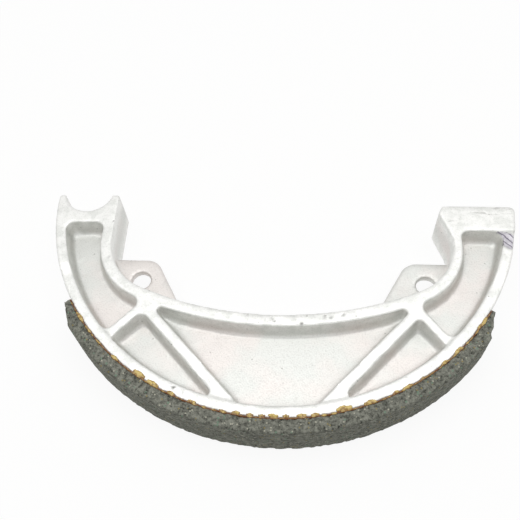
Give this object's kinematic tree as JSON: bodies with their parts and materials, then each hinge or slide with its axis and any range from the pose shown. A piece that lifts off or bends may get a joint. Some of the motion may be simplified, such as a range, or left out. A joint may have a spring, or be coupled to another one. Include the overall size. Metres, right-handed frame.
{
  "type": "brake shoe",
  "caption": "Ribbed aluminium drum brake shoe with a bonded friction lining, a half-round anchor seat, a flat cam pad and drilled spring lugs.",
  "frame": {"origin": "the drum's axis, on the side face that the shoe lies on", "axes": "+Z along the axle, -Y from the drum's axis to the middle of the lining, -X towards the anchor end, +X towards the cam end"},
  "size_m": [0.1415, 0.0753, 0.0145],
  "materials": {
    "cast_aluminium": "as die-cast, blasted",
    "lining": "moulded friction composite, matt",
    "adhesive": "cured resin, glossy"
  },
  "bodies": {
    "root": {"shoe_casting": "cast_aluminium", "friction_lining": "lining", "adhesive_bond": "adhesive"}
  },
  "joints": []
}
